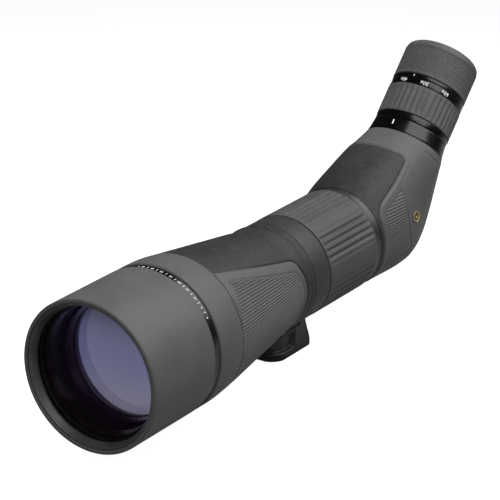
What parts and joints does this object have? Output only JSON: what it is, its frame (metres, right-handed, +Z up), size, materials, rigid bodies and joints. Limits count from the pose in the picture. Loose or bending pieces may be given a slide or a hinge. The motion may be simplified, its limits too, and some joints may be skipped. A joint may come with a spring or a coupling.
{
  "type": "spotting scope",
  "caption": "Angled spotting scope with sliding sunshade, collar and foot, focus ring, prism housing, zoom eyepiece and twist-up eyecup.",
  "frame": {"origin": "on the flat underside of the tripod foot, straight below the tube's axis and between the tripod socket and the pin hole", "axes": "+Z up from the foot to the tube; the objective looks along -Y and the tube lies along Y; +X is the side with the badge, on the user's left"},
  "size_m": [0.102, 0.4477, 0.172],
  "materials": {
    "grey_paint": "fine satin grey paint on aluminium",
    "dark_paint": "smooth dark grey paint on aluminium",
    "rubber_armour": "matt grey moulded rubber with ribs",
    "gloss_black": "gloss black enamel",
    "black_anodised": "matt black anodised aluminium",
    "soft_liner": "matt black rubber or felt",
    "coated_glass": "optical glass with a violet coating",
    "steel": "plain stainless steel",
    "gold": "polished gold-coloured metal",
    "white_marks": "white printed marks and numbers"
  },
  "bodies": {
    "mount": {"collar_ring": "dark_paint", "collar_liner": "soft_liner", "mounting_foot": "gloss_black", "tripod_insert": "steel", "foot_screw_left": "steel", "foot_screw_right": "steel"},
    "lock": {"lock_knob": "gloss_black", "lock_screw": "steel"},
    "scope": {"front_barrel": "grey_paint", "barrel_armour": "rubber_armour", "name_ring": "gloss_black", "objective_cell": "black_anodised", "objective_front_element": "coated_glass", "objective_rear_element": "coated_glass", "objective_spacer": "black_anodised", "objective_retainer": "gloss_black", "front_baffle": "black_anodised", "rear_baffle": "black_anodised", "collar_retaining_ring": "black_anodised", "focus_tube": "black_anodised", "focus_seal_front": "soft_liner", "focus_seal_rear": "soft_liner", "neck_ring": "dark_paint", "prism_housing": "black_anodised", "housing_armour": "rubber_armour", "helper_prism": "coated_glass", "roof_prism": "coated_glass", "prism_tray": "black_anodised", "prism_screw_front": "steel", "prism_screw_rear": "steel", "gas_plug": "black_anodised", "side_badge": "gold", "eyepiece_mount_ring": "gloss_black", "eyepiece_skirt_ring": "gloss_black", "eyepiece_tube": "black_anodised", "field_stop": "black_anodised", "index_ring": "gloss_black", "ocular_cell": "black_anodised", "eye_lens": "coated_glass", "eye_lens_retainer": "gloss_black"},
    "sunshade": {"sunshade_shell": "grey_paint", "sunshade_trim_ring": "black_anodised", "sunshade_guide_ring": "soft_liner"},
    "focus_ring": {"focus_grip": "rubber_armour", "focus_ring_core": "black_anodised"},
    "focus_carriage": {"focus_cell": "black_anodised", "focus_lens": "coated_glass", "focus_drive_pin": "steel"},
    "zoom_ring": {"zoom_grip": "rubber_armour", "number_band": "gloss_black", "zoom_cam_tube": "black_anodised"},
    "front_zoom_carriage": {"front_zoom_cell": "black_anodised", "front_zoom_lens": "coated_glass"},
    "rear_zoom_carriage": {"rear_zoom_cell": "black_anodised", "rear_zoom_lens": "coated_glass"},
    "eyecup_cam": {"eyecup_cam_ring": "black_anodised"},
    "eyecup": {"eyecup_sleeve": "black_anodised", "rubber_eyecup": "rubber_armour"}
  },
  "joints": [
    {"name": "turn_in_collar", "type": "hinge", "parent": "mount", "child": "scope", "pos_m": [0, 0, 0.0586], "axis": [0, 1, 0], "continuous": true},
    {"name": "collar_lock", "type": "hinge", "parent": "mount", "child": "lock", "pos_m": [0, 0, 0.0586], "axis": [-0.8829, 0, -0.4695], "range_deg": [-180, 0]},
    {"name": "sunshade_slide", "type": "slide", "parent": "scope", "child": "sunshade", "axis": [0, -1, 0], "range_m": [0, 0.04]},
    {"name": "focus_turn", "type": "hinge", "parent": "scope", "child": "focus_ring", "pos_m": [0, 0, 0.0586], "axis": [0, 1, 0], "range_deg": [-150, 150]},
    {"name": "focus_travel", "type": "slide", "parent": "scope", "child": "focus_carriage", "axis": [0, 1, 0], "range_m": [-0.009, 0.009]},
    {"name": "zoom_turn", "type": "hinge", "parent": "scope", "child": "zoom_ring", "pos_m": [0, 0.1238, 0.0586], "axis": [0, 0.7071, 0.7071], "range_deg": [-55, 85]},
    {"name": "front_zoom_travel", "type": "slide", "parent": "scope", "child": "front_zoom_carriage", "axis": [0, 0.7071, 0.7071], "range_m": [-0.003, 0.0046]},
    {"name": "rear_zoom_travel", "type": "slide", "parent": "scope", "child": "rear_zoom_carriage", "axis": [0, 0.7071, 0.7071], "range_m": [-0.0031, 0.002]},
    {"name": "eyecup_turn", "type": "hinge", "parent": "scope", "child": "eyecup_cam", "pos_m": [0, 0.1238, 0.0586], "axis": [0, 0.7071, 0.7071], "range_deg": [0, 180]},
    {"name": "eyecup_rise", "type": "slide", "parent": "eyecup_cam", "child": "eyecup", "axis": [0, 0.7071, 0.7071], "range_m": [0, 0.0121]}
  ],
  "couplings": [
    {"joint": "focus_travel", "follows": "focus_turn", "m_per_rad": 0.0034},
    {"joint": "front_zoom_travel", "follows": "zoom_turn", "m_per_rad": 0.003},
    {"joint": "rear_zoom_travel", "follows": "zoom_turn", "m_per_rad": -0.002},
    {"joint": "eyecup_rise", "follows": "eyecup_turn", "m_per_rad": 0.00382}
  ]
}
